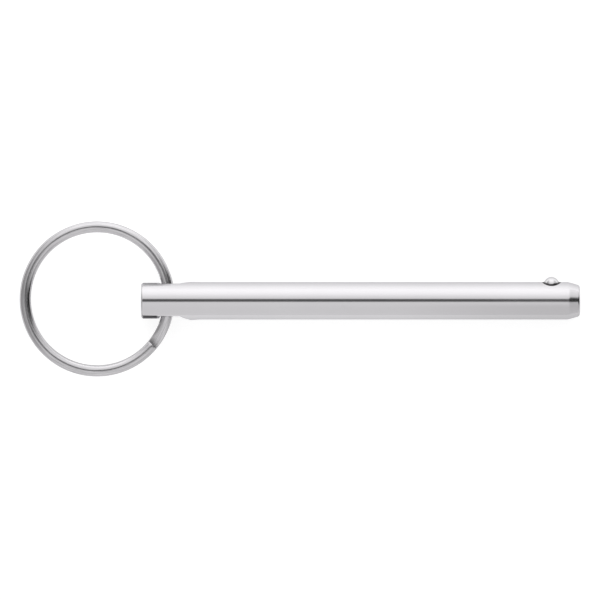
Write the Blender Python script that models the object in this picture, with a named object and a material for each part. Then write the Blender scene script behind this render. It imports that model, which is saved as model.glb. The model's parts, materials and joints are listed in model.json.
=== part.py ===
"""Detent hitch pin with a split-ring handle.

A solid round shank lies along +X with its ring end at the origin. Near the
ring end the shank is pressed flat on two sides and cross-drilled, and a
two-turn split ring hangs in that hole. Near the bevelled tip a spring-loaded
ball sits in a blind radial bore and is held there by a staked rim.

Frame: origin at the centre of the ring-end face, +X along the shank towards
the tip, +Y the way the ball points, +Z square to both. The ring hole and its
pressed flats sit a few degrees round the shank from the ball. Units are metres.
"""

import math

import bmesh
import bpy
from mathutils import Matrix, Vector

MM = 0.001

# Shank
SHANK_R = 4.7625 * MM  # 3/8 in stock
SHANK_LEN = 111.1 * MM
END_BREAK = 0.45 * MM  # rounded edge of the ring-end face
CONE_START = 108.15 * MM  # where the lead-in bevel of the tip begins
CONE_END = 110.45 * MM
CONE_R = 4.12 * MM
TIP_FACE_R = 3.47 * MM

# Pressed flats round the ring hole, as distances from the axis
LAND_HALF_TOP = 4.55 * MM  # end land, +Y side
LAND_HALF_BOTTOM = 4.53 * MM  # end land, -Y side
DIP_HALF_TOP = 4.39 * MM  # deeper seat round the hole, +Y side
DIP_HALF_BOTTOM = 3.94 * MM  # the same, -Y side
CLOCKING = math.radians(9.0)  # flats and hole, turned about the shank from +Y towards -Z
LAND_END = 4.40 * MM
DIP_START = 4.95 * MM
DIP_END = 9.75 * MM
RAMP_END = 12.15 * MM
SWELL_X = 12.8 * MM  # metal pushed up by the press just past the ramp
SWELL_TOP = 0.05 * MM
SWELL_BOTTOM = 0.14 * MM
SWELL_WIDTH = 1.3 * MM

# Ring hole
HOLE_X = 6.74 * MM
HOLE_R = 1.93 * MM
HOLE_FLARE = 0.08 * MM

# Split ring: two turns of half-round wire, flat sides together
RING_MEAN_R = 18.24 * MM
WIRE_HALF_WIDTH = 1.42 * MM
WIRE_DOME = 1.10 * MM
WIRE_CROWN = 0.08 * MM
TURN_GAP = 0.10 * MM
RING_OFFSET = 0.28 * MM  # the wire's centreline passes this far beyond the hole's axis
SEAM_ANGLE = math.radians(-38.0)
JOG_ANGLE = math.radians(30.0)
# How the ring lies in its loose hole
RING_DROOP = math.radians(1.75)  # far side down, about the hole's axis
RING_YAW = math.radians(1.5)  # far side towards +Y

# Detent
BALL_X = 103.93 * MM
BALL_R = 1.984 * MM  # 5/32 in ball
BALL_Y = 4.125 * MM  # centre of the ball when it is out
SEAT_R = 2.012 * MM
BORE_FLOOR_Y = -2.50 * MM
STAKE_INNER = 2.10 * MM
STAKE_OUTER = 2.31 * MM
STAKE_DEPTH = 0.30 * MM

# Spring behind the ball
SPRING_WIRE_R = 0.23 * MM
SPRING_MEAN_R = 1.50 * MM
SPRING_TURNS = 6.5
SPRING_END_TURNS = 1.0
SPRING_END_PITCH = 0.50 * MM
SPRING_GAP = 0.03 * MM

SHANK_SIDES = 72


def clear_scene():
    for obj in list(bpy.data.objects):
        bpy.data.objects.remove(obj, do_unlink=True)


def metal(name, colour, roughness, metallic=1.0):
    mat = bpy.data.materials.new(name)
    mat.use_nodes = True
    shader = mat.node_tree.nodes["Principled BSDF"]
    shader.inputs["Base Color"].default_value = (*colour, 1.0)
    shader.inputs["Roughness"].default_value = roughness
    shader.inputs["Metallic"].default_value = metallic
    return mat


def smoothstep(a, b, x):
    t = min(max((x - a) / (b - a), 0.0), 1.0)
    return t * t * (3.0 - 2.0 * t)


def add_object(name, bm, material=None, smooth_angle=32.0):
    bmesh.ops.recalc_face_normals(bm, faces=bm.faces)
    mesh = bpy.data.meshes.new(name)
    bm.to_mesh(mesh)
    bm.free()
    if material:
        mesh.materials.append(material)
    mesh.shade_smooth()
    mesh.set_sharp_from_angle(angle=math.radians(smooth_angle))
    obj = bpy.data.objects.new(name, mesh)
    bpy.context.scene.collection.objects.link(obj)
    return obj


def loft(bm, loops, closed=False):
    """Skins a list of vertex loops with quads; open lofts get end caps."""
    n = len(loops[0])
    spans = len(loops) if closed else len(loops) - 1
    for i in range(spans):
        a, b = loops[i], loops[(i + 1) % len(loops)]
        for k in range(n):
            bm.faces.new((a[k], a[(k + 1) % n], b[(k + 1) % n], b[k]))
    if not closed:
        bm.faces.new(loops[0][::-1])
        bm.faces.new(loops[-1])


def turned(name, profile, sides, centre):
    """A closed solid turned about an axis along Y through centre, from (radius, y) points, bottom to top."""
    bm = bmesh.new()
    loops = []
    for radius, y in profile:
        loops.append(
            [
                bm.verts.new(
                    (
                        centre[0] + radius * math.cos(2 * math.pi * k / sides),
                        centre[1] + y,
                        centre[2] + radius * math.sin(2 * math.pi * k / sides),
                    )
                )
                for k in range(sides)
            ]
        )
    loft(bm, loops)
    return add_object(name, bm)


def as_cutter(obj):
    obj.hide_render = True
    obj.display_type = "WIRE"
    return obj


def cut(target, cutter):
    mod = target.modifiers.new("cut_" + cutter.name, "BOOLEAN")
    mod.operation = "DIFFERENCE"
    mod.solver = "EXACT"
    mod.object = cutter


# ---------------------------------------------------------------- shank

def turned_radius(x):
    """Radius of the turned shank before pressing."""
    if x < END_BREAK:
        # quarter-round edge at the ring end
        t = 1.0 - x / END_BREAK
        return SHANK_R - END_BREAK * (1.0 - math.sqrt(max(0.0, 1.0 - t * t)))
    if x <= CONE_START:
        return SHANK_R
    if x <= CONE_END:
        return SHANK_R + (CONE_R - SHANK_R) * (x - CONE_START) / (CONE_END - CONE_START)
    # rounded corner between the bevel and the tip face, running on from the bevel
    lead = math.atan2(SHANK_R - CONE_R, CONE_END - CONE_START)
    t = (x - CONE_END) / (SHANK_LEN - CONE_END)
    sine = math.sin(lead) + t * (1.0 - math.sin(lead))
    drop = 1.0 - math.sqrt(max(0.0, 1.0 - sine * sine)) / math.cos(lead)
    return CONE_R - (CONE_R - TIP_FACE_R) * drop


def flat_height(x, top):
    """Distance from the axis to the pressed surface; large where nothing is pressed."""
    land_half = LAND_HALF_TOP if top else LAND_HALF_BOTTOM
    dip_half = DIP_HALF_TOP if top else DIP_HALF_BOTTOM
    if x < LAND_END:
        return land_half - max(0.0, END_BREAK - x) * 0.8
    if x < DIP_START:
        s = smoothstep(LAND_END, DIP_START, x)
        return land_half + (dip_half - land_half) * s
    if x <= DIP_END:
        return dip_half
    if x < RAMP_END:
        t = (x - DIP_END) / (RAMP_END - DIP_END)
        return dip_half + (SHANK_R * 1.002 - dip_half) * (1.0 - (1.0 - t) ** 1.5)
    return 1.0


def section_radius(x, psi):
    """Radius of the finished shank at angle psi from the upper flat's direction."""
    top = math.cos(psi) >= 0.0
    away = psi if top else psi - math.pi
    away = math.atan2(math.sin(away), math.cos(away))
    swell = (SWELL_TOP if top else SWELL_BOTTOM) * math.exp(
        -(((x - SWELL_X) / SWELL_WIDTH) ** 2) - (away / math.radians(24.0)) ** 2
    )
    radius = turned_radius(x) + swell
    height = flat_height(x, top)
    reach = abs(math.cos(psi))
    if reach * radius > height:
        radius = height / reach
    return radius


def shank_stations():
    out = [0.0]
    out += [END_BREAK * f for f in (0.06, 0.25, 0.55, 1.0)]
    out += [LAND_END]
    out += [LAND_END + (DIP_START - LAND_END) * f for f in (0.3, 0.5, 0.7, 1.0)]
    out += [DIP_END]
    out += [DIP_END + (RAMP_END - DIP_END) * f for f in (0.12, 0.3, 0.5, 0.75, 1.0)]
    out += [SWELL_X, SWELL_X + 0.8 * SWELL_WIDTH, SWELL_X + 1.6 * SWELL_WIDTH]
    out += [SWELL_X + 2.6 * SWELL_WIDTH]
    out += [BALL_X - 4.0 * MM]
    out += [CONE_START, CONE_END]
    out += [CONE_END + (SHANK_LEN - CONE_END) * f for f in (0.4, 0.75, 0.93, 1.0)]
    return out


def build_shank(material):
    bm = bmesh.new()
    loops = []
    for x in shank_stations():
        loop = []
        for k in range(SHANK_SIDES):
            psi = 2 * math.pi * k / SHANK_SIDES
            r = section_radius(x, psi)
            turn = psi - CLOCKING
            loop.append(bm.verts.new((x, r * math.cos(turn), r * math.sin(turn))))
        loops.append(loop)
    loft(bm, loops)
    shank = add_object("pin_shank", bm, material)

    # Ring hole, drilled square through the flats, with broken edges at both mouths.
    over = 2.0 * MM
    hole = turned(
        "ring_hole_cutter",
        [
            (HOLE_R + HOLE_FLARE + over, -DIP_HALF_BOTTOM - over),
            (HOLE_R + HOLE_FLARE, -DIP_HALF_BOTTOM),
            (HOLE_R, -DIP_HALF_BOTTOM + 2 * HOLE_FLARE),
            (HOLE_R, DIP_HALF_TOP - 2 * HOLE_FLARE),
            (HOLE_R + HOLE_FLARE, DIP_HALF_TOP),
            (HOLE_R + HOLE_FLARE + over, DIP_HALF_TOP + over),
        ],
        48,
        (HOLE_X, 0.0, 0.0),
    )
    # The flare follows the press flats only; keep the cutter straight outside them.
    for vert in hole.data.vertices:
        if vert.co.y > DIP_HALF_TOP + MM or vert.co.y < -DIP_HALF_BOTTOM - MM:
            dx, dz = vert.co.x - HOLE_X, vert.co.z
            scale = (HOLE_R + HOLE_FLARE * 1.05) / math.hypot(dx, dz)
            vert.co.x, vert.co.z = HOLE_X + dx * scale, dz * scale
    hole.data.transform(Matrix.Rotation(-CLOCKING, 4, "X"))
    cut(shank, as_cutter(hole))

    # Blind bore for the spring and ball, closing in over the ball at its mouth.
    profile = [(0.5 * MM, BORE_FLOOR_Y - 0.45 * MM), (SEAT_R, BORE_FLOOR_Y)]
    for step in range(0, 6):
        a = math.radians(2.5 + 4.2 * step)
        profile.append((SEAT_R * math.cos(a), BALL_Y + SEAT_R * math.sin(a)))
    profile.append((profile[-1][0], SHANK_R + 1.0 * MM))
    bore = turned("ball_bore_cutter", profile, 48, (BALL_X, 0.0, 0.0))
    cut(shank, as_cutter(bore))

    # Groove left by the staking punch, the same depth all round the mouth.
    bm = bmesh.new()
    sides = 48
    corners = ((STAKE_INNER, False), (STAKE_OUTER, False), (STAKE_OUTER, True), (STAKE_INNER, True))
    loops = []
    for radius, top in corners:
        loop = []
        for k in range(sides):
            a = 2 * math.pi * (k + 0.5) / sides
            z = radius * math.sin(a)
            y = SHANK_R + 0.6 * MM
            if not top:
                depth = STAKE_DEPTH if radius == STAKE_INNER else STAKE_DEPTH * 0.55
                y = math.sqrt((SHANK_R - depth) ** 2 - z * z)
            loop.append(bm.verts.new((BALL_X + radius * math.cos(a), y, z)))
        loops.append(loop)
    loft(bm, loops, closed=True)
    groove = add_object("stake_groove_cutter", bm)
    cut(shank, as_cutter(groove))
    return shank


# ---------------------------------------------------------------- ring

def ring_wire(travel, total):
    """Level, upper height and lower height of the wire after a travel angle from its front end."""
    jog_start = 2 * math.pi - JOG_ANGLE
    s = smoothstep(jog_start, 2 * math.pi, travel)
    up = WIRE_DOME + (WIRE_CROWN - WIRE_DOME) * s
    down = WIRE_CROWN + (WIRE_DOME - WIRE_CROWN) * s
    level = (TURN_GAP / 2 + WIRE_CROWN) * (1.0 - 2.0 * s)
    return level, up, down


def build_ring(material):
    """Two turns in the plane of the local X and Y axes, centred so that the wire passes the local origin."""
    bm = bmesh.new()
    sides = 16
    total = 4 * math.pi - JOG_ANGLE - math.radians(1.5)
    plain = math.radians(7.5)
    stations = []
    travel = 0.0
    while travel < total - 1e-6:
        stations.append(travel)
        near_jog = 2 * math.pi - JOG_ANGLE - 1e-6 <= travel < 2 * math.pi - 1e-6
        travel += JOG_ANGLE / 6 if near_jog else plain
        for mark in (2 * math.pi - JOG_ANGLE, 2 * math.pi):
            if stations[-1] < mark - 1e-6 < travel:
                travel = mark
    stations.append(total)
    centre = Vector((RING_OFFSET - RING_MEAN_R, 0.0, 0.0))
    loops = []
    for travel in stations:
        phi = SEAM_ANGLE - travel
        level, up, down = ring_wire(travel, total)
        out = Vector((math.cos(phi), math.sin(phi), 0.0))
        loop = []
        for k in range(sides):
            t = 2 * math.pi * k / sides
            rise = math.sin(t) * (up if math.sin(t) > 0 else down)
            point = centre + out * (RING_MEAN_R + WIRE_HALF_WIDTH * math.cos(t))
            loop.append(bm.verts.new(point + Vector((0.0, 0.0, level + rise))))
        loops.append(loop)
    loft(bm, loops)
    ring = add_object("split_ring", bm, material, 50.0)
    # It swings on the hole's axis, and its lowest point is level with the shank's underside.
    ring.data.transform(
        Matrix.Translation((HOLE_X, 0.0, 0.0))
        @ Matrix.Rotation(-CLOCKING, 4, "X")
        @ Matrix.Rotation(-RING_DROOP, 4, "Y")
        @ Matrix.Rotation(-RING_YAW, 4, "Z")
    )
    return ring


# ---------------------------------------------------------------- detent

def build_ball(material):
    bm = bmesh.new()
    bmesh.ops.create_uvsphere(bm, u_segments=32, v_segments=18, radius=BALL_R)
    bmesh.ops.rotate(
        bm, verts=bm.verts, cent=(0, 0, 0), matrix=Matrix.Rotation(math.radians(90), 3, "X")
    )
    ball = add_object("detent_ball", bm, material, 60.0)
    ball.location = (BALL_X, BALL_Y, 0.0)
    return ball


def build_spring(material):
    """Round-wire compression spring with closed end turns, its top turn under the ball."""
    contact = BALL_R + SPRING_WIRE_R + SPRING_GAP
    top = BALL_Y - math.sqrt(contact**2 - SPRING_MEAN_R**2)
    bottom = BORE_FLOOR_Y + SPRING_WIRE_R + SPRING_GAP
    active = SPRING_TURNS - 2 * SPRING_END_TURNS
    end_rise = SPRING_END_TURNS * SPRING_END_PITCH
    pitch = (top - bottom - 2 * end_rise) / active

    def height(turn):
        if turn <= SPRING_END_TURNS:
            return bottom + turn * SPRING_END_PITCH
        if turn >= SPRING_TURNS - SPRING_END_TURNS:
            return top - (SPRING_TURNS - turn) * SPRING_END_PITCH
        return bottom + end_rise + (turn - SPRING_END_TURNS) * pitch

    bm = bmesh.new()
    steps = int(SPRING_TURNS * 18)
    sides = 7
    loops = []
    for i in range(steps + 1):
        turn = SPRING_TURNS * i / steps
        a = 2 * math.pi * turn
        out = Vector((math.cos(a), 0.0, math.sin(a)))
        centre = Vector((BALL_X, height(turn), 0.0)) + out * SPRING_MEAN_R
        loops.append(
            [
                bm.verts.new(
                    centre
                    + out * (SPRING_WIRE_R * math.cos(2 * math.pi * k / sides))
                    + Vector((0.0, SPRING_WIRE_R * math.sin(2 * math.pi * k / sides), 0.0))
                )
                for k in range(sides)
            ]
        )
    loft(bm, loops)
    return add_object("detent_spring", bm, material, 60.0)


def main():
    clear_scene()
    zinc = metal("zinc_plated_steel", (0.76, 0.76, 0.78), 0.22)
    nickel = metal("nickel_plated_steel", (0.72, 0.71, 0.71), 0.20)
    bearing = metal("bearing_steel", (0.80, 0.80, 0.82), 0.10)
    music = metal("music_wire", (0.45, 0.45, 0.47), 0.32)
    build_shank(zinc)
    build_ring(nickel)
    build_ball(bearing)
    build_spring(music)


main()
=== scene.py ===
"""Looks for the detent hitch pin: fine meshes, procedural metals, a pale floor and soft studio light."""
import json
import math

import bmesh
import bpy
from mathutils import Matrix, Vector


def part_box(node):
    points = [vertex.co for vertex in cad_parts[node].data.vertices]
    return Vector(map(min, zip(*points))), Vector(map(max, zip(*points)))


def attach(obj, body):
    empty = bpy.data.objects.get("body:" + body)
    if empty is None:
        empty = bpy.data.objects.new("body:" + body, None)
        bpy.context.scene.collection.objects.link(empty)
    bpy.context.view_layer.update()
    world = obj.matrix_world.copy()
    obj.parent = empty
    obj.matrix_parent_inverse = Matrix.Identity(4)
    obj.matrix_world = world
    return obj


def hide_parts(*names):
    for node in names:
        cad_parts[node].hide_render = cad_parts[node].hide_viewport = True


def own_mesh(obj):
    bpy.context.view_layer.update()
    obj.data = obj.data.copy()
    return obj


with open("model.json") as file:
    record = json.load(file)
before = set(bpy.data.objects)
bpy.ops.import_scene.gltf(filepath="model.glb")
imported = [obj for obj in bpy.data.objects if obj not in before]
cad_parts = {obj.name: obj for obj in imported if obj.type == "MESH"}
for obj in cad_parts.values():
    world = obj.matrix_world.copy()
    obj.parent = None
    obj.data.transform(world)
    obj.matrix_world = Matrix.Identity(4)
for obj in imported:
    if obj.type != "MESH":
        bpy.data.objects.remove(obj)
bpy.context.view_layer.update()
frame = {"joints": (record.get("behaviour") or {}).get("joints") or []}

MM = 0.001

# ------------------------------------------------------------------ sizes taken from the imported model
shank_lo, shank_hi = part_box("pin_shank")
ball_lo, ball_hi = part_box("detent_ball")
SHANK_R = (shank_hi.z - shank_lo.z) / 2
SHANK_LEN = shank_hi.x
BALL_C = (ball_lo + ball_hi) / 2
BALL_R = (ball_hi.x - ball_lo.x) / 2
SWING = next(j for j in frame["joints"] if j["name"] == "ring_swing")
HOLE_X = SWING["pos_m"][0]

END_BREAK = 0.45 * MM
CONE_START = 108.15 * MM
CONE_END = 110.45 * MM
CONE_R = 4.12 * MM
TIP_FACE_R = 3.47 * MM
LAND_HALF_TOP = 4.55 * MM
LAND_HALF_BOTTOM = 4.53 * MM
DIP_HALF_TOP = 4.39 * MM
DIP_HALF_BOTTOM = 3.94 * MM
CLOCKING = math.radians(9.0)
LAND_END = 4.40 * MM
DIP_START = 4.95 * MM
DIP_END = 9.75 * MM
RAMP_END = 12.15 * MM
SWELL_X = 12.8 * MM
SWELL_TOP = 0.05 * MM
SWELL_BOTTOM = 0.14 * MM
SWELL_WIDTH = 1.3 * MM
HOLE_R = 1.90 * MM
HOLE_FLARE = 0.08 * MM
RING_MEAN_R = 18.24 * MM
WIRE_HALF_WIDTH = 1.42 * MM
WIRE_DOME = 1.10 * MM
WIRE_CROWN = 0.08 * MM
TURN_GAP = 0.10 * MM
RING_OFFSET = 0.28 * MM
RING_DROOP = math.radians(1.75)
RING_YAW = math.radians(1.5)
SEAM_ANGLE = math.radians(-38.0)
JOG_ANGLE = math.radians(30.0)
SEAT_R = 2.012 * MM
BORE_FLOOR_Y = -2.50 * MM
STAKE_INNER = 2.10 * MM
STAKE_OUTER = 2.31 * MM
STAKE_DEPTH = 0.30 * MM
SPRING_WIRE_R = 0.23 * MM
SPRING_MEAN_R = 1.50 * MM
SPRING_TURNS = 6.5
SPRING_END_TURNS = 1.0
SPRING_END_PITCH = 0.50 * MM
SPRING_GAP = 0.03 * MM


# ------------------------------------------------------------------ mesh helpers
def smoothstep(a, b, x):
    t = min(max((x - a) / (b - a), 0.0), 1.0)
    return t * t * (3.0 - 2.0 * t)


def loft(bm, loops, closed=False, cap=True):
    n = len(loops[0])
    spans = len(loops) if closed else len(loops) - 1
    for i in range(spans):
        a, b = loops[i], loops[(i + 1) % len(loops)]
        for k in range(n):
            bm.faces.new((a[k], a[(k + 1) % n], b[(k + 1) % n], b[k]))
    if not closed and cap:
        bm.faces.new(loops[0][::-1])
        bm.faces.new(loops[-1])


def make(name, bm, smooth_angle=28.0):
    bmesh.ops.recalc_face_normals(bm, faces=bm.faces)
    mesh = bpy.data.meshes.new(name)
    bm.to_mesh(mesh)
    bm.free()
    mesh.shade_smooth()
    mesh.set_sharp_from_angle(angle=math.radians(smooth_angle))
    obj = bpy.data.objects.new(name, mesh)
    bpy.context.scene.collection.objects.link(obj)
    return obj


def difference(target, cutters):
    for cutter in cutters:
        mod = target.modifiers.new("cut", "BOOLEAN")
        mod.operation = "DIFFERENCE"
        mod.solver = "EXACT"
        mod.object = cutter
    bpy.context.view_layer.update()
    graph = bpy.context.evaluated_depsgraph_get()
    mesh = bpy.data.meshes.new_from_object(target.evaluated_get(graph))
    target.modifiers.clear()
    old = target.data
    target.data = mesh
    bpy.data.meshes.remove(old)
    for cutter in cutters:
        bpy.data.objects.remove(cutter, do_unlink=True)
    mesh.shade_smooth()
    mesh.set_sharp_from_angle(angle=math.radians(28.0))
    return target


def turned(name, profile, sides, centre):
    bm = bmesh.new()
    loops = []
    for radius, y in profile:
        loops.append(
            [
                bm.verts.new(
                    (
                        centre[0] + radius * math.cos(2 * math.pi * (k + 0.5) / sides),
                        centre[1] + y,
                        centre[2] + radius * math.sin(2 * math.pi * (k + 0.5) / sides),
                    )
                )
                for k in range(sides)
            ]
        )
    loft(bm, loops)
    return make(name, bm)


# ------------------------------------------------------------------ shank
def turned_radius(x):
    if x < END_BREAK:
        t = 1.0 - x / END_BREAK
        return SHANK_R - END_BREAK * (1.0 - math.sqrt(max(0.0, 1.0 - t * t)))
    blend = 0.40 * MM
    if x < CONE_START - blend:
        return SHANK_R
    slope = (CONE_R - SHANK_R) / (CONE_END - CONE_START)
    if x < CONE_START + blend:
        # softened edge where the lead-in bevel starts
        t = x - (CONE_START - blend)
        return SHANK_R + slope * t * t / (4 * blend)
    if x <= CONE_END:
        return SHANK_R + slope * (x - CONE_START)
    lead = math.atan2(SHANK_R - CONE_R, CONE_END - CONE_START)
    t = (x - CONE_END) / (SHANK_LEN - CONE_END)
    sine = math.sin(lead) + t * (1.0 - math.sin(lead))
    drop = 1.0 - math.sqrt(max(0.0, 1.0 - sine * sine)) / math.cos(lead)
    return CONE_R - (CONE_R - TIP_FACE_R) * drop


def flat_height(x, top):
    land_half = LAND_HALF_TOP if top else LAND_HALF_BOTTOM
    dip_half = DIP_HALF_TOP if top else DIP_HALF_BOTTOM
    if x < LAND_END:
        return land_half - max(0.0, END_BREAK - x) * 0.8
    if x < DIP_START:
        return land_half + (dip_half - land_half) * smoothstep(LAND_END, DIP_START, x)
    if x <= DIP_END:
        return dip_half
    if x < RAMP_END:
        t = (x - DIP_END) / (RAMP_END - DIP_END)
        return dip_half + (SHANK_R * 1.002 - dip_half) * (1.0 - (1.0 - t) ** 1.5)
    return 1.0


def soft_min(a, b, k):
    h = max(k - abs(a - b), 0.0) / k
    return min(a, b) - h * h * k * 0.25


def section_radius(x, psi):
    top = math.cos(psi) >= 0.0
    away = psi if top else psi - math.pi
    away = math.atan2(math.sin(away), math.cos(away))
    swell = (SWELL_TOP if top else SWELL_BOTTOM) * math.exp(
        -(((x - SWELL_X) / SWELL_WIDTH) ** 2) - (away / math.radians(24.0)) ** 2
    )
    radius = turned_radius(x) + swell
    height = flat_height(x, top)
    reach = max(abs(math.cos(psi)), 1e-3)
    if height / reach < radius + 0.3 * MM:
        radius = soft_min(radius, height / reach, 0.16 * MM)
    return radius


def spread(a, b, n):
    return [a + (b - a) * i / n for i in range(n)]


def build_shank():
    xs = [END_BREAK * f for f in (0.0, 0.012, 0.05, 0.11, 0.2, 0.32, 0.47, 0.64, 0.82)]
    xs += spread(END_BREAK, LAND_END - 0.15 * MM, 10)
    xs += spread(LAND_END - 0.15 * MM, DIP_START + 0.15 * MM, 16)
    xs += spread(DIP_START + 0.15 * MM, DIP_END - 0.15 * MM, 12)
    xs += spread(DIP_END - 0.15 * MM, RAMP_END + 0.2 * MM, 26)
    xs += spread(RAMP_END + 0.2 * MM, 17.0 * MM, 22)
    xs += spread(17.0 * MM, BALL_C.x - 4 * MM, 12)
    xs += spread(BALL_C.x - 4 * MM, CONE_START - 0.5 * MM, 4)
    xs += spread(CONE_START - 0.5 * MM, CONE_START + 0.4 * MM, 10)
    xs += spread(CONE_START + 0.4 * MM, CONE_END, 6)
    xs += [
        CONE_END + (SHANK_LEN - CONE_END) * f
        for f in (0.0, 0.15, 0.3, 0.44, 0.57, 0.69, 0.79, 0.87, 0.93, 0.97, 0.99, 1.0)
    ]
    sides = 192
    bm = bmesh.new()
    loops = []
    for x in xs:
        loop = []
        for k in range(sides):
            psi = 2 * math.pi * k / sides
            r = section_radius(x, psi)
            turn = psi - CLOCKING
            loop.append(bm.verts.new((x, r * math.cos(turn), r * math.sin(turn))))
        loops.append(loop)
    loft(bm, loops)
    shank = make("shank_body", bm)

    flare = []
    for i in range(7):
        t = math.radians(90 * i / 6)
        flare.append((HOLE_FLARE * (1 - math.cos(t)), 2 * HOLE_FLARE * (1 - math.sin(t))))
    profile = [(HOLE_R + HOLE_FLARE * 1.02, -DIP_HALF_BOTTOM - 2.0 * MM)]
    profile += [(HOLE_R + dr, -DIP_HALF_BOTTOM + dy) for dr, dy in reversed(flare)]
    profile += [(HOLE_R + dr, DIP_HALF_TOP - dy) for dr, dy in flare]
    profile += [(HOLE_R + HOLE_FLARE * 1.02, DIP_HALF_TOP + 2.0 * MM)]
    hole = turned("hole", profile, 96, (HOLE_X, 0.0, 0.0))
    hole.data.transform(Matrix.Rotation(-CLOCKING, 4, "X"))

    profile = [(0.05 * MM, BORE_FLOOR_Y - 0.5 * MM), (SEAT_R, BORE_FLOOR_Y)]
    for step in range(0, 9):
        a = math.radians(0.5 + 2.9 * step)
        profile.append((SEAT_R * math.cos(a), BALL_C.y + SEAT_R * math.sin(a)))
    profile.append((profile[-1][0] + 0.01 * MM, SHANK_R + 1.0 * MM))
    bore = turned("bore", profile, 96, (BALL_C.x, 0.0, 0.0))

    bm = bmesh.new()
    sides, steps = 128, 9
    loops = []
    for i in range(steps + 2):
        loop = []
        if i <= steps:
            f = i / steps
            radius = STAKE_INNER + (STAKE_OUTER - STAKE_INNER) * f
            depth = STAKE_DEPTH * (1.0 - f) ** 0.8 * min(1.0, f * 9 + 0.15)
            depth = max(depth, -0.2 * MM if 0 < f < 1 else 0.0)
        for k in range(sides):
            a = 2 * math.pi * (k + 0.25) / sides
            if i <= steps:
                z = radius * math.sin(a)
                y = math.sqrt((SHANK_R - depth) ** 2 - z * z)
            if i == steps:
                y = SHANK_R + 0.6 * MM
                z = radius * math.sin(a)
            if i == steps + 1:
                radius = STAKE_INNER
                y = SHANK_R + 0.6 * MM
                z = radius * math.sin(a)
            loop.append(bm.verts.new((BALL_C.x + radius * math.cos(a), y, z)))
        loops.append(loop)
    loft(bm, loops, closed=True)
    groove = make("groove", bm)
    return difference(shank, [hole, bore, groove])


# ------------------------------------------------------------------ ring
def build_ring():
    bm = bmesh.new()
    uv_layer = None
    sides = 44
    total = 4 * math.pi - JOG_ANGLE - math.radians(1.5)
    jog_start = 2 * math.pi - JOG_ANGLE
    travels = []
    travel = 0.0
    while travel < total - math.radians(1.0):
        travels.append(travel)
        inside = jog_start - 0.02 <= travel < 2 * math.pi
        travel += math.radians(1.1) if inside else math.radians(2.6)
    travels.append(total)
    # Ends cut square, with the burr knocked off.
    break_in = 0.14 * MM / RING_MEAN_R
    shaped = [(0.0, 0.86), (break_in * 0.3, 0.95), (break_in, 1.0)]
    shaped += [(t, 1.0) for t in travels[1:-1]]
    shaped += [(total - break_in, 1.0), (total - break_in * 0.3, 0.95), (total, 0.86)]
    centre = Vector((RING_OFFSET - RING_MEAN_R, 0.0, 0.0))
    loops, coords = [], []
    for travel, size in shaped:
        phi = SEAM_ANGLE - travel
        s = smoothstep(jog_start, 2 * math.pi, travel)
        up = WIRE_DOME + (WIRE_CROWN - WIRE_DOME) * s
        down = WIRE_CROWN + (WIRE_DOME - WIRE_CROWN) * s
        level = (TURN_GAP / 2 + WIRE_CROWN) * (1.0 - 2.0 * s)
        out = Vector((math.cos(phi), math.sin(phi), 0.0))
        side = Vector((-math.sin(phi), math.cos(phi), 0.0))
        loop = []
        for k in range(sides):
            t = 2 * math.pi * k / sides
            ct, st = math.cos(t), math.sin(t)
            rise = st * (up if st > 0 else down)
            mid = (up - down) / 2
            rho = WIRE_HALF_WIDTH * ct * size
            rise = mid + (rise - mid) * size
            # the cut is a degree or two off square
            skew = -side * (rho * 0.16) * max(0.0, 1.0 - abs(travel) / 0.06)
            point = centre + out * (RING_MEAN_R + rho) + skew
            loop.append(bm.verts.new(point + Vector((0.0, 0.0, level + rise))))
        loops.append(loop)
        coords.append(travel)
    loft(bm, loops)
    bm.verts.index_update()
    uv_layer = bm.loops.layers.uv.new("wire")
    for face in bm.faces:
        for lp in face.loops:
            i, k = divmod(lp.vert.index, sides)
            v = k / sides
            if len(face.verts) == 4:
                ks = [w.vert.index % sides for w in face.loops]
                if max(ks) - min(ks) > 1 and k == 0:
                    v = 1.0
            lp[uv_layer].uv = (coords[i] / (4 * math.pi), v)
    ring = make("ring_wire", bm, 40.0)
    ring.data.transform(
        Matrix.Translation((HOLE_X, 0.0, 0.0))
        @ Matrix.Rotation(-CLOCKING, 4, "X")
        @ Matrix.Rotation(-RING_DROOP, 4, "Y")
        @ Matrix.Rotation(-RING_YAW, 4, "Z")
    )
    return ring


# ------------------------------------------------------------------ detent
def build_ball():
    bm = bmesh.new()
    bmesh.ops.create_uvsphere(bm, u_segments=96, v_segments=64, radius=BALL_R)
    obj = make("lock_ball", bm, 60.0)
    obj.data.transform(Matrix.Translation(BALL_C) @ Matrix.Rotation(math.radians(90), 4, "X"))
    return obj


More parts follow.
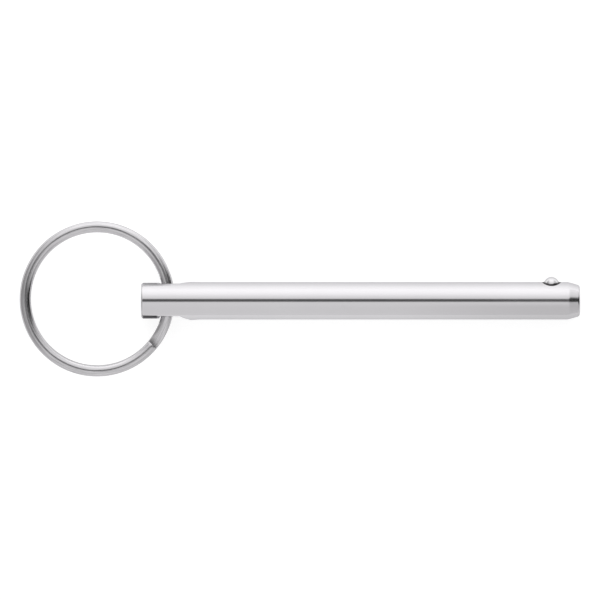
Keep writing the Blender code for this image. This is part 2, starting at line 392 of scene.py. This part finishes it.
def build_spring():
    contact = BALL_R + SPRING_WIRE_R + SPRING_GAP
    top = BALL_C.y - math.sqrt(contact**2 - SPRING_MEAN_R**2)
    bottom = BORE_FLOOR_Y + SPRING_WIRE_R + SPRING_GAP
    active = SPRING_TURNS - 2 * SPRING_END_TURNS
    end_rise = SPRING_END_TURNS * SPRING_END_PITCH
    pitch = (top - bottom - 2 * end_rise) / active

    def height(turn):
        if turn <= SPRING_END_TURNS:
            return bottom + turn * SPRING_END_PITCH
        if turn >= SPRING_TURNS - SPRING_END_TURNS:
            return top - (SPRING_TURNS - turn) * SPRING_END_PITCH
        return bottom + end_rise + (turn - SPRING_END_TURNS) * pitch

    bm = bmesh.new()
    steps, sides = int(SPRING_TURNS * 40), 14
    loops = []
    for i in range(steps + 1):
        turn = SPRING_TURNS * i / steps
        a = 2 * math.pi * turn
        out = Vector((math.cos(a), 0.0, math.sin(a)))
        c = Vector((BALL_C.x, height(turn), 0.0)) + out * SPRING_MEAN_R
        loops.append(
            [
                bm.verts.new(
                    c
                    + out * (SPRING_WIRE_R * math.cos(2 * math.pi * k / sides))
                    + Vector((0.0, SPRING_WIRE_R * math.sin(2 * math.pi * k / sides), 0.0))
                )
                for k in range(sides)
            ]
        )
    loft(bm, loops)
    return make("coil_spring", bm, 60.0), bottom - SPRING_WIRE_R


# ------------------------------------------------------------------ materials
class Nodes:
    """Short calls for building a node tree."""

    def __init__(self, tree):
        self.tree = tree

    def add(self, kind, **values):
        node = self.tree.nodes.new(kind)
        for key, value in values.items():
            setattr(node, key, value)
        return node

    def link(self, a, b):
        self.tree.links.new(a, b)

    def value(self, socket, v):
        if hasattr(v, "default_value") or isinstance(v, bpy.types.NodeSocket):
            self.link(v, socket)
        else:
            socket.default_value = v

    def math(self, op, a, b=None, c=None, clamp=False):
        node = self.add("ShaderNodeMath", operation=op, use_clamp=clamp)
        for socket, v in zip(node.inputs, (a, b, c)):
            if v is not None:
                self.value(socket, v)
        return node.outputs[0]

    def ramp(self, x, lo, hi, a=0.0, b=1.0, smooth=True):
        node = self.add("ShaderNodeMapRange", interpolation_type="SMOOTHSTEP" if smooth else "LINEAR")
        self.value(node.inputs["Value"], x)
        node.inputs["From Min"].default_value = lo
        node.inputs["From Max"].default_value = hi
        node.inputs["To Min"].default_value = a
        node.inputs["To Max"].default_value = b
        return node.outputs["Result"]

    def noise(self, vector, scale, detail=3.0, rough=0.5, dist=0.0):
        node = self.add("ShaderNodeTexNoise")
        self.link(vector, node.inputs["Vector"])
        node.inputs["Scale"].default_value = scale
        node.inputs["Detail"].default_value = detail
        node.inputs["Roughness"].default_value = rough
        node.inputs["Distortion"].default_value = dist
        return node.outputs["Fac"]

    def scaled(self, vector, s):
        node = self.add("ShaderNodeMapping")
        self.link(vector, node.inputs["Vector"])
        node.inputs["Scale"].default_value = s
        return node.outputs["Vector"]

    def combine(self, x, y, z):
        node = self.add("ShaderNodeCombineXYZ")
        for socket, v in zip(node.inputs, (x, y, z)):
            self.value(socket, v)
        return node.outputs[0]

    def mix(self, fac, a, b):
        node = self.add("ShaderNodeMix", data_type="RGBA")
        self.value(node.inputs["Factor"], fac)
        for socket, v in ((node.inputs[6], a), (node.inputs[7], b)):
            self.value(socket, v)
        return node.outputs[2]


def begin(name, tint=(0.9, 0.9, 0.9, 1.0)):
    mat = bpy.data.materials.new(name)
    mat.use_nodes = True
    n = Nodes(mat.node_tree)
    shader = mat.node_tree.nodes["Principled BSDF"]
    shader.inputs["Metallic"].default_value = 1.0
    shader.inputs["Specular Tint"].default_value = tint
    coord = n.add("ShaderNodeTexCoord").outputs["Object"]
    return mat, n, shader, coord


def bump_chain(n, shader, layers):
    """layers: (height socket, strength, distance in metres)."""
    last = None
    for height, strength, distance in layers:
        node = n.add("ShaderNodeBump")
        node.inputs["Strength"].default_value = strength
        node.inputs["Distance"].default_value = distance
        n.link(height, node.inputs["Height"])
        if last is not None:
            n.link(last, node.inputs["Normal"])
        last = node.outputs["Normal"]
    n.link(last, shader.inputs["Normal"])


def zinc_material():
    mat, n, shader, coord = begin("zinc_plate", (0.76, 0.76, 0.77, 1.0))
    sep = n.add("ShaderNodeSeparateXYZ")
    n.link(coord, sep.inputs[0])
    x, y, z = sep.outputs
    radius = n.math("SQRT", n.math("ADD", n.math("MULTIPLY", y, y), n.math("MULTIPLY", z, z)))

    cloud = n.noise(coord, 90.0, 4.0, 0.55)
    fine = n.noise(coord, 2600.0, 3.0, 0.6)
    drawn = n.noise(n.scaled(coord, (14.0, 900.0, 900.0)), 1.0, 4.0, 0.6)
    drawn_fine = n.noise(n.scaled(coord, (60.0, 4200.0, 4200.0)), 1.0, 2.0, 0.5)
    # turning marks run round the bevel and the faces
    lathe = n.noise(n.combine(n.math("MULTIPLY", x, 9000.0), n.math("MULTIPLY", radius, 9000.0), 0.0), 1.0, 2.0, 0.5)
    on_tip = n.ramp(x, CONE_START - 0.2 * MM, CONE_START + 0.1 * MM)
    on_end = n.ramp(x, 0.25 * MM, 0.02 * MM)
    machined = n.math("MAXIMUM", on_tip, on_end)

    # the squeezed land: painted shade in the colour along both flats, heavier along the lower edge, with dull tool
    # marks in roughness and bump
    inside = n.math("MULTIPLY", n.ramp(x, 4.40 * MM, 3.80 * MM), n.ramp(x, 0.15 * MM, 0.6 * MM))
    across = n.math(
        "SUBTRACT", n.math("MULTIPLY", y, math.cos(CLOCKING)), n.math("MULTIPLY", z, math.sin(CLOCKING))
    )
    upper = n.math("MULTIPLY", n.ramp(across, 4.02 * MM, 4.18 * MM), 0.52)
    corner = n.ramp(radius, 4.42 * MM, 4.60 * MM, 0.75, 1.0)
    lower = n.math("MULTIPLY", n.ramp(across, -3.66 * MM, -3.86 * MM), corner)
    ragged = n.ramp(n.noise(n.scaled(coord, (260.0, 900.0, 900.0)), 1.0, 3.0, 0.6), 0.25, 0.5)
    land_marks_and_painted_shade = n.math("MULTIPLY", n.math("MAXIMUM", upper, lower), inside)
    land_marks_and_painted_shade = n.math("MULTIPLY", land_marks_and_painted_shade, n.math("ADD", 0.8, n.math("MULTIPLY", ragged, 0.2)))

    # painted shade plus dark oil in the staked groove round the ball
    off_x = n.math("SUBTRACT", x, BALL_C.x)
    reach = n.math("SQRT", n.math("ADD", n.math("MULTIPLY", off_x, off_x), n.math("MULTIPLY", z, z)))
    groove_oil_and_painted_shade = n.math("MULTIPLY", n.ramp(reach, 2.44 * MM, 2.28 * MM), n.ramp(y, 2.5 * MM, 3.2 * MM))

    scratches = n.noise(n.scaled(coord, (220.0, 1500.0, 1500.0)), 1.0, 2.0, 0.7, 1.2)
    scratch = n.ramp(scratches, 0.66, 0.74)

    base = n.mix(cloud, (0.575, 0.567, 0.581, 1.0), (0.615, 0.607, 0.621, 1.0))
    base = n.mix(n.math("MULTIPLY", drawn, 0.30), base, (0.54, 0.533, 0.546, 1.0))
    base = n.mix(n.math("MULTIPLY", scratch, 0.10), base, (0.38, 0.375, 0.38, 1.0))
    # painted shade: the strips along the land's flats go nearly black
    base = n.mix(n.math("MULTIPLY", land_marks_and_painted_shade, 0.92), base, (0.055, 0.053, 0.058, 1.0))
    # painted shade and oil darken the groove round the ball
    base = n.mix(n.math("MULTIPLY", groove_oil_and_painted_shade, 0.95), base, (0.045, 0.042, 0.043, 1.0))
    # painted shade: the lower side of the shank darkens towards the tip
    lower_side_painted_shade = n.math("MULTIPLY", n.ramp(x, 55 * MM, 107 * MM), n.ramp(across, -0.2 * MM, -1.6 * MM))
    base = n.mix(n.math("MULTIPLY", lower_side_painted_shade, 0.45), base, (0.40, 0.392, 0.40, 1.0))
    n.link(base, shader.inputs["Base Color"])

    rough = n.math("ADD", n.math("MULTIPLY", cloud, 0.05), n.ramp(x, 80 * MM, 106 * MM, 0.075, 0.105))
    rough = n.math("ADD", rough, n.math("MULTIPLY", machined, 0.04))
    rough = n.math("ADD", rough, n.math("MULTIPLY", land_marks_and_painted_shade, 0.22))
    haze = n.math("MULTIPLY", n.ramp(across, 3.60 * MM, 3.80 * MM), n.ramp(x, 8.6 * MM, 7.2 * MM))
    rough = n.math("ADD", rough, n.math("MULTIPLY", haze, 0.24))
    rough = n.math("ADD", rough, n.math("MULTIPLY", groove_oil_and_painted_shade, 0.25))
    rough = n.math("ADD", rough, n.math("MULTIPLY", fine, 0.02))
    n.link(rough, shader.inputs["Roughness"])

    plain = n.math("SUBTRACT", 1.0, machined)
    bump_chain(
        n,
        shader,
        [
            (n.math("MULTIPLY", drawn, plain), 0.16, 0.004 * MM),
            (n.math("MULTIPLY", drawn_fine, plain), 0.12, 0.0015 * MM),
            (n.math("MULTIPLY", lathe, machined), 0.30, 0.004 * MM),
            (n.math("MULTIPLY", ragged, land_marks_and_painted_shade), 0.4, 0.012 * MM),
            (fine, 0.12, 0.0012 * MM),
        ],
    )
    return mat


def wire_material():
    mat, n, shader, coord = begin("nickel_wire", (0.50, 0.50, 0.51, 1.0))
    uv = n.add("ShaderNodeUVMap", uv_map="wire").outputs["UV"]
    sep = n.add("ShaderNodeSeparateXYZ")
    n.link(uv, sep.inputs[0])
    along, around = sep.outputs[0], sep.outputs[1]
    angle = n.math("MULTIPLY", around, 2 * math.pi)
    # a cylinder in noise space, so that the marks close up round the wire
    ring = n.combine(
        n.math("MULTIPLY", n.math("COSINE", angle), 3.0),
        n.math("MULTIPLY", n.math("SINE", angle), 3.0),
        n.math("MULTIPLY", along, 15.0),
    )
    streak = n.noise(ring, 1.7, 5.0, 0.62)
    ring_fine = n.combine(
        n.math("MULTIPLY", n.math("COSINE", angle), 11.0),
        n.math("MULTIPLY", n.math("SINE", angle), 11.0),
        n.math("MULTIPLY", along, 24.0),
    )
    streak_fine = n.noise(ring_fine, 1.0, 4.0, 0.6)
    cloud = n.noise(coord, 240.0, 3.0, 0.5)
    fine = n.noise(coord, 3000.0, 2.0, 0.6)
    base = n.mix(n.ramp(streak, 0.30, 0.70), (0.465, 0.458, 0.470, 1.0), (0.635, 0.627, 0.640, 1.0))
    base = n.mix(n.math("MULTIPLY", n.ramp(streak_fine, 0.54, 0.66), 0.8), base, (0.35, 0.344, 0.354, 1.0))
    n.link(base, shader.inputs["Base Color"])
    rough = n.math("ADD", n.math("MULTIPLY", streak, 0.14), 0.12)
    rough = n.math("ADD", rough, n.math("MULTIPLY", cloud, 0.05))
    n.link(rough, shader.inputs["Roughness"])
    bump_chain(
        n,
        shader,
        [
            (streak, 0.35, 0.022 * MM),
            (streak_fine, 0.35, 0.008 * MM),
            (fine, 0.12, 0.0012 * MM),
        ],
    )
    return mat


def ball_material():
    mat, n, shader, coord = begin("polished_ball", (0.78, 0.78, 0.79, 1.0))
    cloud = n.noise(coord, 500.0, 3.0, 0.5)
    scuff = n.ramp(n.noise(n.scaled(coord, (900.0, 2600.0, 900.0)), 1.0, 3.0, 0.7, 0.8), 0.6, 0.72)
    base = n.mix(cloud, (0.55, 0.545, 0.555, 1.0), (0.61, 0.605, 0.615, 1.0))
    base = n.mix(n.math("MULTIPLY", scuff, 0.2), base, (0.42, 0.415, 0.42, 1.0))
    # painted shade plus dark oil: a dark line where the ball meets the rim of its seat
    sep = n.add("ShaderNodeSeparateXYZ")
    n.link(coord, sep.inputs[0])
    y, z = sep.outputs[1], sep.outputs[2]
    out = n.math("SQRT", n.math("ADD", n.math("MULTIPLY", y, y), n.math("MULTIPLY", z, z)))
    seat_oil_and_painted_shade = n.ramp(out, 5.06 * MM, 4.86 * MM)
    # painted shade and oil darken the band at the seat line
    base = n.mix(n.math("MULTIPLY", seat_oil_and_painted_shade, 0.85), base, (0.06, 0.057, 0.058, 1.0))
    n.link(base, shader.inputs["Base Color"])
    rough = n.math("ADD", n.math("MULTIPLY", cloud, 0.04), n.math("ADD", 0.05, n.math("MULTIPLY", scuff, 0.08)))
    n.link(n.math("ADD", rough, n.math("MULTIPLY", seat_oil_and_painted_shade, 0.2)), shader.inputs["Roughness"])
    bump_chain(n, shader, [(scuff, 0.1, 0.0008 * MM), (cloud, 0.1, 0.001 * MM)])
    return mat


def spring_material():
    mat, n, shader, coord = begin("music_wire", (0.9, 0.9, 0.9, 1.0))
    cloud = n.noise(coord, 900.0, 4.0, 0.6)
    fine = n.noise(coord, 6000.0, 2.0, 0.6)
    base = n.mix(cloud, (0.30, 0.295, 0.29, 1.0), (0.42, 0.415, 0.41, 1.0))
    n.link(base, shader.inputs["Base Color"])
    n.link(n.math("ADD", n.math("MULTIPLY", cloud, 0.15), 0.22), shader.inputs["Roughness"])
    bump_chain(n, shader, [(fine, 0.2, 0.001 * MM)])
    return mat


# ------------------------------------------------------------------ studio
LIGHT = 1.05  # overall level; the metals are set against it


def floor_and_light():
    bm = bmesh.new()
    bmesh.ops.create_circle(bm, cap_ends=True, segments=96, radius=3.0)
    floor = make("floor", bm)
    floor.data.transform(Matrix.Translation((0.04, 0.0, -SHANK_R - 0.00002)))
    mat = bpy.data.materials.new("pale_floor")
    mat.use_nodes = True
    n = Nodes(mat.node_tree)
    shader = mat.node_tree.nodes["Principled BSDF"]
    shader.inputs["Base Color"].default_value = (0.5, 0.5, 0.5, 1.0)
    shader.inputs["Roughness"].default_value = 0.9
    shader.inputs["Specular IOR Level"].default_value = 0.0
    shader.inputs["Emission Color"].default_value = (1.0, 1.0, 1.0, 1.0)
    coord = n.add("ShaderNodeTexCoord").outputs["Object"]
    sep = n.add("ShaderNodeSeparateXYZ")
    n.link(coord, sep.inputs[0])
    x, y = sep.outputs[0], sep.outputs[1]
    # painted light: the floor's emission is brighter on the lamp side (+Y)
    glow = n.math("ADD", n.ramp(y, -5 * MM, 5 * MM, 0.0, 0.06), n.ramp(y, 5 * MM, 32 * MM, 0.0, 0.34, smooth=False))
    # a faint contact shade along the pin
    shade = n.math("MULTIPLY", n.ramp(y, -7 * MM, -4.6 * MM), n.ramp(y, 4 * MM, 0.0))
    shade = n.math("MULTIPLY", shade, n.math("MULTIPLY", n.ramp(x, -1 * MM, 7 * MM), n.ramp(x, 114 * MM, 106 * MM)))
    glow = n.math("SUBTRACT", glow, n.math("MULTIPLY", shade, 0.03))
    n.link(n.math("ADD", glow, 0.70), shader.inputs["Emission Strength"])
    floor.data.materials.append(mat)

    world = bpy.data.worlds.new("studio")
    bpy.context.scene.world = world
    world.use_nodes = True
    tree = world.node_tree
    tree.nodes.clear()
    n = Nodes(tree)
    direction = n.add("ShaderNodeTexCoord").outputs["Generated"]
    sep = n.add("ShaderNodeSeparateXYZ")
    n.link(direction, sep.inputs[0])
    dx, dy, dz = sep.outputs
    deg = 180.0 / math.pi
    a = n.math("MULTIPLY", n.math("ARCTAN2", dy, dz), deg)  # from overhead towards +Y
    az = n.math("MULTIPLY", n.math("ARCTAN2", dy, dx), deg)  # from +X towards +Y
    polar = n.math("MULTIPLY", n.math("ARCCOSINE", dz), deg)  # from overhead

    def curve(x, lo, hi, points):
        """Brightness through (degrees, level) points, joined by straight lines."""
        node = n.add("ShaderNodeFloatCurve")
        n.link(n.ramp(x, lo, hi, 0.0, 1.0, smooth=False), node.inputs["Value"])
        c = node.mapping.curves[0]
        top = 2.0
        pts = [((p - lo) / (hi - lo), v / top) for p, v in points]
        c.points[0].location = pts[0]
        c.points[1].location = pts[-1]
        for p in pts[1:-1]:
            c.points.new(*p)
        node.mapping.use_clip = False
        node.mapping.update()
        return n.math("MULTIPLY", node.outputs[0], top)

    def band(x, lo, hi, soft):
        return n.math(
            "MULTIPLY", n.ramp(x, lo - soft, lo + soft), n.ramp(x, hi + soft, hi - soft)
        )

    over = curve(
        a,
        -180.0,
        180.0,
        [
            (-180, 0.90), (-90, 0.92), (-40, 0.91), (-15, 0.94), (0, 0.96), (12, 1.0),
            (22, 1.02), (30, 1.08), (42, 1.25), (54, 1.42), (68, 1.53), (84, 1.55),
            (105, 1.52), (130, 1.40), (180, 0.90),
        ],
    )
    around = curve(
        az,
        -180.0,
        180.0,
        [
            (-180, 0.50), (-165, 0.52), (-150, 0.62), (-135, 0.80), (-110, 0.90), (-90, 0.90),
            (-60, 0.82), (-35, 0.76), (-15, 0.70), (5, 0.70), (20, 0.78), (30, 0.84),
            (45, 0.92), (60, 1.02), (75, 1.26), (90, 1.44), (105, 1.34), (120, 1.10),
            (135, 0.82), (150, 0.54), (162, 0.40), (180, 0.48),
        ],
    )
    across = n.ramp(n.math("ABSOLUTE", dx), 0.28, 0.62)
    level = n.math(
        "ADD",
        n.math("MULTIPLY", over, n.math("SUBTRACT", 1.0, across)),
        n.math("MULTIPLY", around, across),
    )
    # dark gaps between the panels: one overhead along the pin, opening out beyond the tip
    side = n.math("MULTIPLY", n.math("ARCSINE", dx), deg)
    gaps = [
        (n.math("MULTIPLY", band(a, 2.4, 20.2, 4.5), band(side, -20, 32, 6)), 0.87),
        (n.math("MULTIPLY", band(polar, 25, 54, 4), band(az, 0, 40, 5)), 0.97),
        (n.math("MULTIPLY", n.ramp(polar, 42, 50), band(az, -15, 24, 6)), 0.97),
    ]
    for mask, depth in gaps:
        level = n.math("MULTIPLY", level, n.math("SUBTRACT", 1.0, n.math("MULTIPLY", mask, depth)))
    level = n.math("MULTIPLY", level, LIGHT)
    studio = n.add("ShaderNodeBackground")
    studio.inputs["Color"].default_value = (1.0, 0.995, 1.0, 1.0)
    n.link(level, studio.inputs["Strength"])
    backdrop = n.add("ShaderNodeBackground")
    backdrop.inputs["Color"].default_value = (1.0, 1.0, 1.0, 1.0)
    backdrop.inputs["Strength"].default_value = 1.0
    path = n.add("ShaderNodeLightPath")
    mix = n.add("ShaderNodeMixShader")
    n.link(path.outputs["Is Camera Ray"], mix.inputs[0])
    n.link(studio.outputs[0], mix.inputs[1])
    n.link(backdrop.outputs[0], mix.inputs[2])
    out = n.add("ShaderNodeOutputWorld")
    n.link(mix.outputs[0], out.inputs[0])


def camera():
    """Almost straight down on the flat-lying pin, from slightly towards the ball's side."""
    tilt = math.radians(9.0)
    width = 152.04 * MM  # across the frame at the pin's axis
    target = Vector((40.23 * MM, 0.19 * MM / math.cos(tilt), 0.0))
    distance = 2.0
    data = bpy.data.cameras.new("camera")
    data.sensor_width = 36.0
    data.lens = 36.0 * distance / width
    data.clip_start, data.clip_end = 0.01, 50.0
    cam = bpy.data.objects.new("camera", data)
    bpy.context.scene.collection.objects.link(cam)
    back = Vector((0.0, math.sin(tilt), math.cos(tilt)))
    up = Vector((0.0, math.cos(tilt), -math.sin(tilt)))
    right = up.cross(back)
    rot = Matrix((right, up, back)).transposed().to_4x4()
    cam.matrix_world = Matrix.Translation(target + back * distance) @ rot
    bpy.context.scene.camera = cam


# ------------------------------------------------------------------ put together
camera()
floor_and_light()

shank = build_shank()
shank.data.materials.clear()
shank.data.materials.append(zinc_material())
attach(shank, "shank")
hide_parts("pin_shank")

ring = build_ring()
ring.data.materials.append(wire_material())
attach(ring, "ring")
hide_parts("split_ring")

ball = build_ball()
ball.data.materials.append(ball_material())
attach(ball, "ball")
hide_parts("detent_ball")

spring, spring_foot = build_spring()
spring.data.materials.append(spring_material())
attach(spring, "shank")
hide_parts("detent_spring")
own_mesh(spring)

view = bpy.context.scene.view_settings
view.view_transform = "Standard"
view.look = "None"
